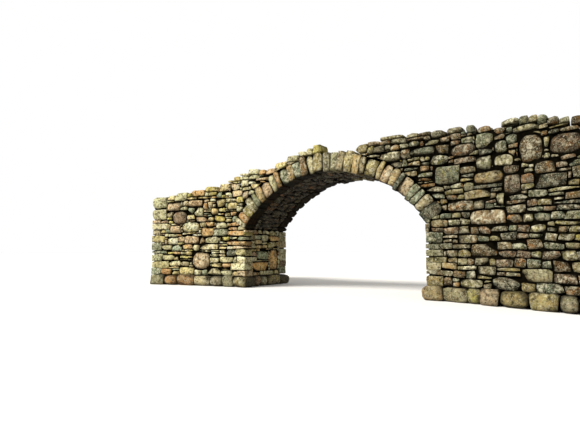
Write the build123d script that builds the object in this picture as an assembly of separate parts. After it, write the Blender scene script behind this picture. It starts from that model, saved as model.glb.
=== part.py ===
"""Packhorse bridge of dry rubble stone, in millimetres.

One segmental arch springs from two abutments. Each arch face is a ring of separate
voussoirs, and a rubble barrel of edge-laid courses runs between the two rings.
Spandrel walls and splayed wing walls hold a rubble core, which carries the stone
pitching of the deck between two lines of kerb stones. The crown has no kerb on its
right part, where the voussoirs themselves reach the deck.

Frame: +X along the bridge, -Y the downstream face, +Z up, origin on the ground
below the middle of the arch.
"""

import math
import os

from build123d import *

# Arch
SPAN = 5000.0
RISE = 1350.0
SPRINGING_HEIGHT = 1600.0
RING_DEPTH = 430.0
BARREL_DEPTH = 310.0
BARREL_COURSES = 33
# Widths of the voussoirs along the underside, from the left springing to the right one
VOUSSOIR_WIDTHS = (
    120, 200, 210, 220, 160, 205, 280, 190, 155, 245, 195, 200, 185, 170, 255, 190,
    190, 190, 215, 190, 140, 280, 140, 210, 180, 100, 250, 150, 135, 210, 255,
)

# Plan
BRIDGE_WIDTH = 1950.0
BRIDGE_LENGTH = 11200.0
FACE_THICKNESS = 400.0
END_WALL_THICKNESS = 400.0
WING_SPLAY_DEG = 15.0
ABUTMENT_SHELF = 90.0

# Footings
FOOTING_HEIGHT = 300.0
FOOTING_PROUD = 80.0

# Deck: drops below the crown of the deck, and where its slope changes
LEFT_SHOULDER_X = 1000.0
LEFT_SHOULDER_DROP = 120.0
LEFT_KNEE_DROP = 520.0
LEFT_END_DROP = 880.0
RIGHT_SHOULDER_X = 900.0
RIGHT_KNEE_RISE = 60.0
RIGHT_BROW_X = 4500.0
RIGHT_BROW_DROP = 30.0
RIGHT_END_DROP = 380.0
PITCHING_THICKNESS = 120.0

# Kerb stones, from the crown outwards: on the haunch, then on the wing wall.
# Each stone has its length and its upstand over the deck.
KERB_BED_BELOW_DECK = 20.0
BARE_CROWN = 900.0
LEFT_HAUNCH_KERBS = (
    (300, 250), (360, 210), (400, 150), (440, 120), (540, 180), (370, 200), (280, 170), (260, 150),
)
LEFT_WING_KERBS = ((360, 120), (400, 100), (430, 80), (560, 100), (280, 80), (460, 100))
RIGHT_HAUNCH_KERBS = ((300, 110), (460, 120), (400, 150), (520, 130), (370, 100))
RIGHT_WING_KERBS = ((450, 100), (380, 120), (520, 90), (400, 120), (480, 100), (420, 90))

# Open joint between neighbouring loose stones, and the thinnest tapering course
JOINT = 6.0
THINNEST_COURSE = 35.0

# Arch circle, and the heights and places that follow from it
radius = ((SPAN / 2) ** 2 + RISE**2) / (2 * RISE)
centre_z = SPRINGING_HEIGHT + RISE - radius
half_angle = math.atan2(SPAN / 2, radius - RISE)
skewback_x = (radius + RING_DEPTH) * math.sin(half_angle)
skewback_z = centre_z + (radius + RING_DEPTH) * math.cos(half_angle)
abutment_x = skewback_x + ABUTMENT_SHELF
end_x = BRIDGE_LENGTH / 2
crown_z = centre_z + radius + RING_DEPTH
face_y = BRIDGE_WIDTH / 2
core_y = face_y - FACE_THICKNESS
splay = math.tan(math.radians(WING_SPLAY_DEG))
wing_wall_y = FACE_THICKNESS / math.cos(math.radians(WING_SPLAY_DEG))


def on_circle(r, angle):
    """The point of a circle about the arch's centre, the angle measured from the crown."""
    return (r * math.sin(angle), centre_z + r * math.cos(angle))


def joint_angles(widths):
    """The angles of the radial joints between stones of these widths, springing to springing."""
    angles = [-half_angle]
    for width in widths:
        angles.append(angles[-1] + 2 * half_angle * width / sum(widths))
    return angles


def height_at(line, x):
    """The height at x of a line whose points run from left to right."""
    for (x0, z0), (x1, z1) in zip(line, line[1:]):
        if x0 <= x <= x1:
            share = (x - x0) / (x1 - x0) if x1 > x0 else 0.0
            return z0 + (z1 - z0) * share
    return line[0][1] if x < line[0][0] else line[-1][1]


def stretch(line, x0, x1):
    """The part of a line from x0 to x1, cut to those ends."""
    inner = [p for p in line if x0 < p[0] < x1]
    return [(x0, height_at(line, x0)), *inner, (x1, height_at(line, x1))]


def raised(line, by):
    return [(x, z + by) for x, z in line]


def crossings(one, other):
    """Where two lines cross, as values of x."""
    knots = sorted({x for x, _ in one + other})
    found = []
    for x0, x1 in zip(knots, knots[1:]):
        d0 = height_at(one, x0) - height_at(other, x0)
        d1 = height_at(one, x1) - height_at(other, x1)
        if d0 * d1 < 0:
            found.append(x0 + (x1 - x0) * d0 / (d0 - d1))
    return found


def higher_of(one, other):
    """The line that follows the higher of two lines."""
    knots = sorted({x for x, _ in one + other} | set(crossings(one, other)))
    return [(x, max(height_at(one, x), height_at(other, x))) for x in knots]


def taper_end(lower, upper, start, stop):
    """How far a course from start towards stop goes before it is too thin to lay."""
    thin_at = crossings(raised(lower, THINNEST_COURSE), upper)
    on_the_way = [x for x in thin_at if min(start, stop) < x < max(start, stop)]
    return min(on_the_way, key=lambda x: abs(x - start)) if on_the_way else stop


def profile(points, y0, y1):
    """A solid with this outline in elevation, from y0 to y1."""
    outline = Plane.XZ.offset(-y0) * Polygon(*points, align=None)
    return extrude(outline, amount=y1 - y0, dir=(0, 1, 0))


def plan(points, z0, z1):
    """A solid with this outline in plan, from z0 to z1."""
    outline = Plane.XY.offset(z0) * Polygon(*points, align=None)
    return extrude(outline, amount=z1 - z0, dir=(0, 0, 1))


def band(lower, upper, x0, x1, y0, y1):
    """A solid between two lines, from x0 to x1 and y0 to y1."""
    outline = stretch(lower, x0, x1) + stretch(upper, x0, x1)[::-1]
    return profile(outline, y0, y1)


def overlap(one, other):
    return (one & other).solids()


def save(node, *shapes):
    solids = [solid for shape in shapes for solid in shape.solids()]
    whole = solids[0] if len(solids) == 1 else Compound(children=solids)
    export_step(whole, f"parts/{node}.step")


def mirrored_back(shape):
    return mirror(shape, about=Plane.XZ)


# Lines in elevation, each a list of (x, z) from left to right
deck_line = [
    (-end_x, crown_z - LEFT_END_DROP),
    (-abutment_x, crown_z - LEFT_KNEE_DROP),
    (-LEFT_SHOULDER_X, crown_z - LEFT_SHOULDER_DROP),
    (0.0, crown_z),
    (RIGHT_SHOULDER_X, crown_z),
    (abutment_x, crown_z + RIGHT_KNEE_RISE),
    (RIGHT_BROW_X, crown_z - RIGHT_BROW_DROP),
    (end_x, crown_z - RIGHT_END_DROP),
]
wall_top = raised(deck_line, -KERB_BED_BELOW_DECK)
ground_line = [(-end_x, FOOTING_HEIGHT), (end_x, FOOTING_HEIGHT)]


def back_line(depth, angles):
    """The upper side of a ring of stones with this depth, with the shelves of the abutments."""
    arc = [on_circle(radius + depth, a) for a in angles]
    ends = [(-skewback_x, skewback_z)] if depth < RING_DEPTH else []
    right_ends = [(-x, z) for x, z in ends]
    shelves = (-abutment_x, skewback_z), (abutment_x, skewback_z)
    return [shelves[0], *ends, *arc, *right_ends, shelves[1]]


voussoir_angles = joint_angles(VOUSSOIR_WIDTHS)
course_angles = joint_angles([1] * BARREL_COURSES)
ring_back = back_line(RING_DEPTH, voussoir_angles)
barrel_back = back_line(BARREL_DEPTH, course_angles)
kerb_bed = higher_of(wall_top, ring_back)
pitching_bed = higher_of(raised(deck_line, -PITCHING_THICKNESS), barrel_back)


def between(p, q, share):
    return (p[0] + (q[0] - p[0]) * share, p[1] + (q[1] - p[1]) * share)


def wedge(first, last, depth, open_first, open_last, y0, y1):
    """One arch stone between two joint angles, with half a joint open where it has a neighbour."""
    inner = on_circle(radius, first), on_circle(radius, last)
    outer = on_circle(radius + depth, first), on_circle(radius + depth, last)
    corners = []
    for near, far in (inner, outer):
        gap = JOINT / 2 / math.dist(near, far)
        corners.append(between(near, far, gap * open_first))
        corners.append(between(near, far, 1 - gap * open_last))
    return profile([corners[0], corners[1], corners[3], corners[2]], y0, y1)


def arch_stones(angles, depth, y0, y1):
    pairs = list(zip(angles, angles[1:]))
    last = len(pairs) - 1
    return [
        wedge(a, b, depth, i > 0, i < last, y0, y1) for i, (a, b) in enumerate(pairs)
    ]


def build_arch():
    """Two face rings of voussoirs, and the barrel between them in three parts."""
    ring = arch_stones(voussoir_angles, RING_DEPTH, -face_y, -core_y)
    save("front_voussoirs", *ring)
    save("back_voussoirs", *[mirrored_back(stone) for stone in ring])
    barrel = arch_stones(course_angles, BARREL_DEPTH, -core_y, core_y)
    third = BARREL_COURSES // 3
    save("barrel_left_haunch", *barrel[:third])
    save("barrel_crown", *barrel[third:-third])
    save("barrel_right_haunch", *barrel[-third:])


def half_width(x):
    """Half the bridge's width in plan at x, which grows along the splayed wings."""
    return face_y + max(0.0, abs(x) - abutment_x) * splay


def build_base(name, side):
    """One side's footing, and the abutment with its sloping skewback. Side is -1 at the left."""
    toe, heel, tail = SPAN / 2 - FOOTING_PROUD, abutment_x, end_x
    front = [(side * x, -half_width(x) - FOOTING_PROUD) for x in (toe, heel, tail)]
    back = [(x, -y) for x, y in reversed(front)]
    save(f"{name}_footing", plan(front + back, 0, FOOTING_HEIGHT))
    outline = [
        (side * SPAN / 2, FOOTING_HEIGHT),
        (side * SPAN / 2, SPRINGING_HEIGHT),
        (side * skewback_x, skewback_z),
        (side * abutment_x, skewback_z),
        (side * abutment_x, FOOTING_HEIGHT),
    ]
    save(f"{name}_abutment", profile(outline, -face_y, face_y))


def wing_outline(side, y_start, y_end):
    """The plan of one wing wall, or of a kerb on it, from the abutment to the bridge's end."""
    rise = (end_x - abutment_x) * splay
    return [
        (side * abutment_x, y_start),
        (side * end_x, y_start - rise),
        (side * end_x, y_end - rise),
        (side * abutment_x, y_end),
    ]


def build_walls(name, side):
    """One side's spandrel walls and wing walls, downstream and upstream."""
    tip = taper_end(ring_back, wall_top, side * abutment_x, 0.0)
    if side > 0:
        tip = max(tip, BARE_CROWN)
    x0, x1 = sorted((side * abutment_x, tip))
    spandrel = band(ring_back, wall_top, x0, x1, -face_y, -core_y)
    save(f"front_{name}_spandrel_wall", spandrel)
    save(f"back_{name}_spandrel_wall", mirrored_back(spandrel))
    x0, x1 = sorted((side * abutment_x, side * end_x))
    reach = half_width(end_x)
    tall = band(ground_line, wall_top, x0, x1, -reach, 0)
    footprint = wing_outline(side, -face_y, wing_wall_y - face_y)
    wing = overlap(plan(footprint, 0, 2 * crown_z), tall)
    save(f"front_{name}_wing_wall", *wing)
    save(f"back_{name}_wing_wall", *[mirrored_back(solid) for solid in wing])


def between_wings(side, near, far):
    """The plan between a side's two wing walls, from near to far along the bridge."""
    front = [
        (side * x, wing_wall_y - face_y - (x - abutment_x) * splay) for x in (near, far)
    ]
    return front + [(x, -y) for x, y in reversed(front)]


def build_inside(name, side):
    """One side's rubble core, its end wall, and the fill over the haunch of the barrel."""
    x0, x1 = sorted((side * abutment_x, side * end_x))
    under_pitching = raised(deck_line, -PITCHING_THICKNESS)
    reach = half_width(end_x)
    tall = band(ground_line, under_pitching, x0, x1, -reach, reach)
    wall_x = end_x - END_WALL_THICKNESS
    core = plan(between_wings(side, abutment_x, wall_x), 0, 2 * crown_z)
    save(f"{name}_rubble_core", *overlap(core, tall))
    end_wall = plan(between_wings(side, wall_x, end_x), 0, 2 * crown_z)
    save(f"{name}_end_wall", *overlap(end_wall, tall))
    tip = taper_end(barrel_back, under_pitching, side * abutment_x, 0.0)
    x0, x1 = sorted((side * abutment_x, tip))
    fill = band(barrel_back, under_pitching, x0, x1, -core_y, core_y)
    save(f"{name}_haunch_fill", fill)
    return tip


def build_pitching(left_tip, right_tip):
    """The stone pitching of the deck: two ramps, two haunches and the crown."""
    under = raised(deck_line, -PITCHING_THICKNESS)
    for name, side in (("left", -1), ("right", 1)):
        x0, x1 = sorted((side * abutment_x, side * end_x))
        reach = half_width(end_x)
        tall = band(under, deck_line, x0, x1, -reach, reach)
        footprint = plan(between_wings(side, abutment_x, end_x), 0, 2 * crown_z)
        save(f"{name}_ramp_pitching", *overlap(footprint, tall))
    spans = (
        ("left_haunch_pitching", -abutment_x, left_tip),
        ("crown_pitching", left_tip, right_tip),
        ("right_haunch_pitching", right_tip, abutment_x),
    )
    for node, x0, x1 in spans:
        save(node, band(pitching_bed, deck_line, x0, x1, -core_y, core_y))


def kerb_cuts(start, stop, kerbs):
    """Each kerb stone's left end, right end and top, from start to stop, with open joints."""
    way = 1 if stop > start else -1
    run = sum(length for length, _ in kerbs)
    cuts, at = [], start
    for i, (length, upstand) in enumerate(kerbs):
        after = at + (stop - start) * length / run
        near = at if i == 0 else at + way * JOINT / 2
        far = after if i == len(kerbs) - 1 else after - way * JOINT / 2
        cuts.append((min(near, far), max(near, far), raised(deck_line, upstand)))
        at = after
    return cuts


def build_kerb(name, side, crown_end, haunch, wing):
    """One side's kerb stones: on the ring and spandrel wall, then along the wing wall."""
    stones = []
    for x0, x1, top in kerb_cuts(crown_end, side * abutment_x, haunch):
        stones.append(band(kerb_bed, top, x0, x1, -face_y, -core_y))
    footprint = plan(wing_outline(side, -face_y, wing_wall_y - face_y), 0, 2 * crown_z)
    starts = side * (abutment_x + JOINT)
    for x0, x1, top in kerb_cuts(starts, side * end_x, wing):
        slab = band(wall_top, top, x0, x1, -half_width(end_x), 0)
        stones.extend(overlap(footprint, slab))
    save(f"front_{name}_kerb", *stones)
    save(f"back_{name}_kerb", *[mirrored_back(stone) for stone in stones])


def main():
    os.makedirs("parts", exist_ok=True)
    build_arch()
    tips = []
    for name, side in (("left", -1), ("right", 1)):
        build_base(name, side)
        build_walls(name, side)
        tips.append(build_inside(name, side))
    build_pitching(*tips)
    build_kerb("left", -1, 0.0, LEFT_HAUNCH_KERBS, LEFT_WING_KERBS)
    build_kerb("right", 1, BARE_CROWN, RIGHT_HAUNCH_KERBS, RIGHT_WING_KERBS)


main()
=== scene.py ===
import math
import random

import bmesh
import bpy
from mathutils import Matrix, Vector, noise
from mathutils.bvhtree import BVHTree


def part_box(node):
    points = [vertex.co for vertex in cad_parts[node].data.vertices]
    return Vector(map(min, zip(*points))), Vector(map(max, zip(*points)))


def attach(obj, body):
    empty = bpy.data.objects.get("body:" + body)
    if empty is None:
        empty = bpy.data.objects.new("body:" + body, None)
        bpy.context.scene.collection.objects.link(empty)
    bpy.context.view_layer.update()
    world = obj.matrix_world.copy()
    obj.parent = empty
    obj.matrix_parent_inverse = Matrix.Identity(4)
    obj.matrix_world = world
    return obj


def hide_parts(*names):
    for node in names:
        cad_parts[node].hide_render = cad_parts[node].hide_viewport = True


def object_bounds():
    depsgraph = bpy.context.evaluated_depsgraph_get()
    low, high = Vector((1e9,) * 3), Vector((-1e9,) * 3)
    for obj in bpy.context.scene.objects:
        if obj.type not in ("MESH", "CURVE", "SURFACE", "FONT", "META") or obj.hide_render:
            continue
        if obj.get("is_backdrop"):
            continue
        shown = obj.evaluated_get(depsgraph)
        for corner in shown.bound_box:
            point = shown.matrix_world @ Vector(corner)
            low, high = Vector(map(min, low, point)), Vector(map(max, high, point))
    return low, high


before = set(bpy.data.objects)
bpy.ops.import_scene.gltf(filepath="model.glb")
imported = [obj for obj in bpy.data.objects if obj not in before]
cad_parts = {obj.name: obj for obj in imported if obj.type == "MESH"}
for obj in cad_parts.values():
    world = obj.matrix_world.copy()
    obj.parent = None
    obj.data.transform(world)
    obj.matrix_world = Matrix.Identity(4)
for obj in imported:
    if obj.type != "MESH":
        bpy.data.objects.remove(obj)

cad_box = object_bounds()

# Footings
# Each half of the bridge stands on one course of big water-worn boulders, laid dry on firm ground. They
# stand a little proud of the walls above, and their tops are left rough.
footing_low, footing_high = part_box("right_footing")
abutment_low, abutment_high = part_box("right_abutment")
wing_low, wing_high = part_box("front_right_wing_wall")
half_span = abutment_low.x
face_y = abutment_high.y
wing_start_x = abutment_high.x
end_x = wing_high.x
splay = (-wing_low.y - face_y) / (end_x - wing_start_x)
footing_top = footing_high.z
footing_proud = half_span - footing_low.x
footing_toe = half_span - footing_proud
footing_stone_depth = 0.45
# The rows across the bridge stop this far short of its faces, whose own stones turn the corners
row_short_under_arch = 0.38
row_short_at_end = 0.42
halves = {"left": -1, "right": 1}


def half_width(x):
    """Half the width over the faces, which the wings splay out."""
    return face_y + max(0.0, abs(x) - wing_start_x) * splay


def long_face(turned, proud=0.0):
    """The bridge's front (1), or its back (-1), which is the front turned half round."""
    return lambda along, inward, up: Vector(
        (turned * along, -turned * (half_width(along) + proud - inward), up)
    )


def cross_face(side, distance, outwards):
    """A face across the bridge, which looks out at its end (1) or in under the arch (-1)."""
    return lambda along, inward, up: Vector(
        (side * (distance - outwards * inward), outwards * side * along, up)
    )


def new_wall():
    """An empty wall, which keeps the tone and the growths of each stone laid in it."""
    wall = bmesh.new()
    wall.verts.layers.float_color.new("tone")
    wall.verts.layers.float_color.new("growth")
    return wall


def blank(cuts):
    """An unworked block, for a stone to be shaped from."""
    block = new_wall()
    bmesh.ops.create_cube(block, size=2)
    bmesh.ops.subdivide_edges(block, edges=block.edges[:], cuts=cuts, use_grid_fill=True)
    return block


# The half size that each blank starts from: boulders, common stones, and pinnings
blanks = ((0.17, blank(6)), (0.065, blank(4)), (0.0, blank(2)))
one_stone = bpy.data.meshes.new("one_stone")
# The lumps on the stones come out the same at every run
noise.seed_set(1)

# Colours of the local stone, with the shares of yellow lichen, pale lichen and rust on it
stone_colours = {
    "pale": ((0.490, 0.445, 0.250), (0.25, 0.80, 0.10)),
    "sage": ((0.335, 0.320, 0.175), (0.22, 0.65, 0.10)),
    "olive": ((0.303, 0.262, 0.108), (0.28, 0.50, 0.15)),
    "moss": ((0.350, 0.300, 0.080), (0.50, 0.45, 0.10)),
    "tan": ((0.415, 0.323, 0.146), (0.18, 0.50, 0.30)),
    "rust": ((0.420, 0.260, 0.100), (0.08, 0.35, 0.65)),
    "rose": ((0.400, 0.290, 0.160), (0.05, 0.55, 0.25)),
    "green": ((0.168, 0.196, 0.122), (0.15, 0.55, 0.10)),
    "grey": ((0.225, 0.200, 0.115), (0.12, 0.55, 0.15)),
    "slate": ((0.068, 0.078, 0.054), (0.05, 0.35, 0.10)),
    "plum": ((0.165, 0.115, 0.070), (0.05, 0.35, 0.30)),
    "umber": ((0.145, 0.100, 0.045), (0.08, 0.35, 0.40)),
}
# How square a stone's outline is, how far its upper and lower corners are broken off, how far it swells
# into its joints, how flat its face is, and how deep its face is broken at the edges
stone_forms = {
    "quoin": (14.0, 0.06, 0.06, 0.045, 12.0, 0.015),
    "voussoir": (14.0, 0.42, 0.12, 0.030, 9.0, 0.045),
    "cope": (9.0, 0.36, 0.08, 0.045, 8.0, 0.08),
    "block": (9.0, 0.36, 0.30, 0.045, 8.0, 0.08),
    "slab": (8.0, 0.42, 0.38, 0.045, 8.0, 0.06),
    "cobble": (4.0, 0.30, 0.30, 0.030, 4.5, 0.07),
    "boulder": (2.8, 0.18, 0.20, 0.0, 3.4, 0.045),
    "peak": (6.5, 0.60, 0.12, 0.035, 6.0, 0.07),
    "keel": (6.5, 0.15, 0.58, 0.035, 6.0, 0.07),
    "lens": (5.0, 0.42, 0.40, 0.025, 5.0, 0.07),
}
# The least and steepest break of an edge, the scale of the lumps, and where dirt with painted shade and
# smooth edges end
least_break = 0.002
steepest_break = 0.9
seed_range = 90
broad_lumps = 9.0
small_lumps = 27.0
clean_lit_depth = 0.008
dirt_and_shade_depth = 0.05
sharp_turn = 0.6


def lay_stone(wall, face, chance, place, joints, depth, colour, form, proud=0.0, dark=1.0, reach_out=0.0):
    """Shapes one stone to the joints round its place on a wall's face, and lays it there."""
    left, right, low, high = place
    squareness, top_break, foot_break, spread, flatness, broken_depth = stone_forms[form]
    middle = Vector(((left + right) / 2, depth / 2 - proud, (low + high) / 2))
    half = Vector(((right - left) / 2, depth / 2, (high - low) / 2))
    larger = max(half.x, half.z)
    stone = next(block for least, block in blanks if larger > least).copy()
    cuts = [(Vector((nx, 0, nz)), reach - nx * middle.x - nz * middle.z) for nx, nz, reach in joints]
    for side in (-1, 1):
        for up, broken in ((1, top_break), (-1, foot_break)):
            run = half.x * broken * chance.uniform(0.1, 1.3) + least_break
            drop = half.z * broken * chance.uniform(0.3, 1.2) + least_break
            across = Vector((side * drop, 0, up * run)).normalized()
            cuts.append((across, across.dot(Vector((side * half.x, 0, up * (half.z - drop))))))
    for side, up in ((-1, -1), (-1, 1), (1, -1), (1, 1)):
        flat = chance.uniform(0.1, 0.8)
        falls = [min(steepest_break, broken_depth / (extent * (1 - flat))) for extent in (half.x, half.z)]
        fall_x, fall_z = (chance.uniform(0.0, 1.0) * fall for fall in falls)
        tilt = Vector((side * fall_x, -1, up * fall_z)).normalized()
        cuts.append((tilt, tilt.dot(Vector((side * half.x * flat, -half.y, up * half.z * flat)))))
    seed = Vector([chance.uniform(0, seed_range) for _ in range(3)])
    swell = 0.05 * min(half.x, half.z) + 0.004
    lightness = chance.uniform(0.76, 1.14)
    warmth = chance.uniform(-0.06, 0.06)
    base, growths = stone_colours[colour]
    own_colour = [c * lightness * (1 + warmth * k) for c, k in zip(base, (1, 0, -1))]
    grown_over = [g * chance.uniform(0.3, 1.4) for g in growths]
    tone = stone.verts.layers.float_color["tone"]
    growth = stone.verts.layers.float_color["growth"]
    full = half + Vector((spread + reach_out, 0, spread + reach_out))
    for vert in stone.verts:
        x, y, z = vert.co
        rim = max(abs(x), abs(z))
        outline = rim / (abs(x) ** squareness + abs(z) ** squareness) ** (1 / squareness) if rim > 0 else 1
        dome = (rim ** flatness + abs(y) ** flatness) ** (1 / flatness)
        p = Vector((x * outline * full.x, y * full.y, z * outline * full.z)) / dome
        for _ in range(2):
            for normal, reach in cuts:
                over = p.dot(normal) - reach
                if over > 0:
                    p -= normal * over
        lumps = noise.noise_vector(p * broad_lumps + seed) * swell
        p += lumps + noise.noise_vector(p * small_lumps + seed) * swell * 0.5
        # Behind the face the stone darkens, as dirt and painted shade in the joints, and under its belly as
        # painted shade, darkest on its bed; dark scales both
        inward = max(0.0, (p.y + half.y - clean_lit_depth) / dirt_and_shade_depth)
        belly_shade = max(0.0, -0.9 * p.z / half.z - 0.45) + max(0.0, -9.0 * p.z / half.z - 8.2)
        vert[tone] = (*own_colour, min(1.0, inward + belly_shade) * dark)
        vert[growth] = (*grown_over, seed.x / seed_range)
        vert.co = face(*(middle + p))
    for edge in stone.edges:
        edge.smooth = edge.calc_face_angle(0.0) < sharp_turn
    for side in stone.faces:
        side.smooth = True
    stone.to_mesh(one_stone)
    stone.free()
    wall.from_mesh(one_stone)


def beside_boulder(boulder, other, gap):
    """The line that keeps a stone off the round outline of the boulder beside it."""
    middle = Vector(((boulder[0] + boulder[1]) / 2, (boulder[2] + boulder[3]) / 2))
    radii = Vector(((boulder[1] - boulder[0]) / 2, (boulder[3] - boulder[2]) / 2))
    centre = Vector(((other[0] + other[1]) / 2, (other[2] + other[3]) / 2))
    nearest = Vector((min(max(middle.x, other[0]), other[1]), min(max(middle.y, other[2]), other[3])))
    away = (centre + nearest) / 2 - middle
    towards = Vector((away.x / radii.x, away.y / radii.y)).normalized()
    touching = middle + towards * radii
    normal = Vector((-towards.x / radii.x, -towards.y / radii.y)).normalized()
    return (normal.x, normal.y, normal.dot(touching) - gap)


# Which stones are neighbours, how wide their joints are and how far out of true they run
neighbours_within = 0.085
corner_room = 0.02
upright_joint = 0.6
bed_joint = 1.15
corner_joint = 0.2
most_lean = 0.34
most_wander = 0.033
shortest_joint = 0.05
outer_gap = 0.003


def meeting_place(one, other, apart):
    """Where two stones meet: between their near ends, or midway along what they share."""
    if not apart:
        return (max(one[0], other[0]) + min(one[1], other[1])) / 2
    return (one[1] + other[0]) / 2 if other[0] + other[1] > one[0] + one[1] else (one[0] + other[1]) / 2


def joints_between(chance, places, forms=(), least=0.004, most=0.014):
    """The joint between each two neighbours on a face: a line that bounds both stones."""
    joints = [[] for _ in places]
    boulders = {index for index, form in enumerate(forms) if form == "boulder"}
    corners = {index for index, form in enumerate(forms) if form in ("quoin", "cope")}
    closed = [set() for _ in places]
    for a, one in enumerate(places):
        for b in range(a + 1, len(places)):
            other = places[b]
            across = max(other[0] - one[1], one[0] - other[1])
            above = max(other[2] - one[3], one[2] - other[3])
            if across > neighbours_within or above > neighbours_within:
                continue
            gap = chance.uniform(least, most)
            if (a in boulders) != (b in boulders):
                if a in boulders:
                    joints[b].append(beside_boulder(one, other, gap))
                else:
                    joints[a].append(beside_boulder(other, one, gap))
                continue
            gap *= upright_joint if across > above else bed_joint
            if a in corners and b in corners:
                gap *= corner_joint
            to_right = 1 if other[0] + other[1] > one[0] + one[1] else -1
            to_top = 1 if other[2] + other[3] > one[2] + one[3] else -1
            if across > 0 and above > 0:
                normal = Vector((to_right * (across + corner_room), to_top * (above + corner_room)))
                normal.normalize()
            elif across > above:
                normal = Vector((to_right, 0))
                closed[a].add((to_right, 0))
                closed[b].add((-to_right, 0))
            else:
                normal = Vector((0, to_top))
                closed[a].add((0, to_top))
                closed[b].add((0, -to_top))
            x = meeting_place(one[:2], other[:2], across > above or across > 0)
            z = meeting_place(one[2:], other[2:], above >= across or above > 0)
            if normal.x == 0:
                longest = max(abs(end - x) for end in (*one[:2], *other[:2]))
            else:
                longest = max(abs(end - z) for end in (*one[2:], *other[2:]))
            lean = chance.uniform(-1, 1) * min(most_lean, most_wander / max(shortest_joint, longest))
            normal.rotate(Matrix.Rotation(lean, 2))
            reach = normal.dot(Vector((x, z)))
            joints[a].append((normal.x, normal.y, reach - gap))
            joints[b].append((-normal.x, -normal.y, -reach - gap))
    for lines, sides, (left, right, low, high) in zip(joints, closed, places):
        for nx, nz, reach in ((-1, 0, -left), (1, 0, right), (0, -1, -low), (0, 1, high)):
            if (nx, nz) not in sides:
                lines.append((nx, nz, reach - outer_gap))
    return joints


def finish_piece(name, wall, finish, slot, *nodes):
    """Makes a wall's stones one piece, which stands for the solids named."""
    mesh = bpy.data.meshes.new(name)
    wall.to_mesh(mesh)
    wall.free()
    piece = bpy.data.objects.new(name, mesh)
    bpy.context.scene.collection.objects.link(piece)
    mesh.materials.append(finish)
    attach(piece, "root")
    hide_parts(*nodes)


def pack_behind(name, slot, set_back, finish):
    """Packs small stuff behind the faces of one of the solids, a little way back from its joints."""
    packing = bmesh.new()
    packing.from_mesh(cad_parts[name].data)
    bmesh.ops.remove_doubles(packing, verts=packing.verts, dist=0.0005)
    packing.normal_update()
    moves = [vert.normal * vert.calc_shell_factor() * set_back for vert in packing.verts]
    for vert, move in zip(packing.verts, moves):
        vert.co -= move
    finish_piece(f"{name}_packing", packing, finish, slot, name)


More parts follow.
